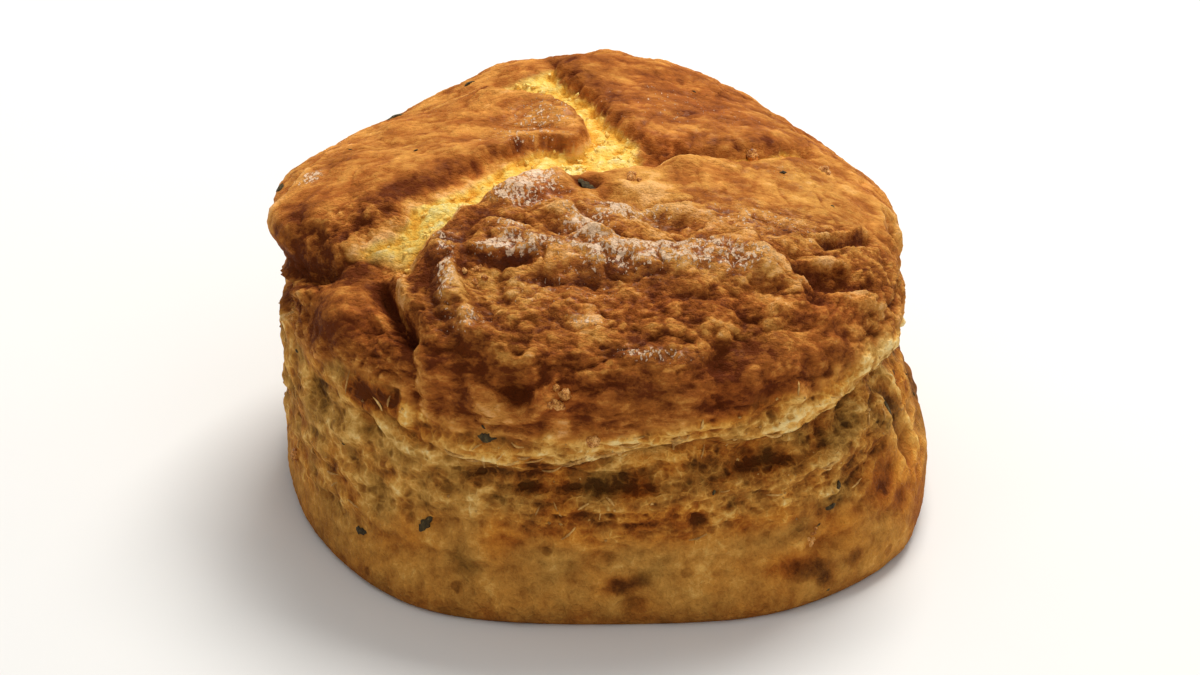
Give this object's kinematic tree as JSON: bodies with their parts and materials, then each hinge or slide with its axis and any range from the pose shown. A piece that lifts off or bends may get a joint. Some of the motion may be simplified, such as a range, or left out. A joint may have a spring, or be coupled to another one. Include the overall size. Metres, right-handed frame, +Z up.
{
  "type": "savoury scone",
  "caption": "Round, tall savoury scone baked with pork crackling: a crust burst into three plates over a flaky torn side, solid and uncut, resting on its flat base.",
  "frame": {"origin": "middle of the flat base, on the surface that the scone rests on", "axes": "+Z up, +X to the right and -Y towards the viewer of the shown side, which has the wide front plate of crust"},
  "size_m": [0.0783, 0.0777, 0.0419],
  "materials": {
    "baked_scone": "browned, egg-washed crust over pale flaky crumb"
  },
  "bodies": {
    "root": {"scone": "baked_scone"}
  },
  "joints": []
}
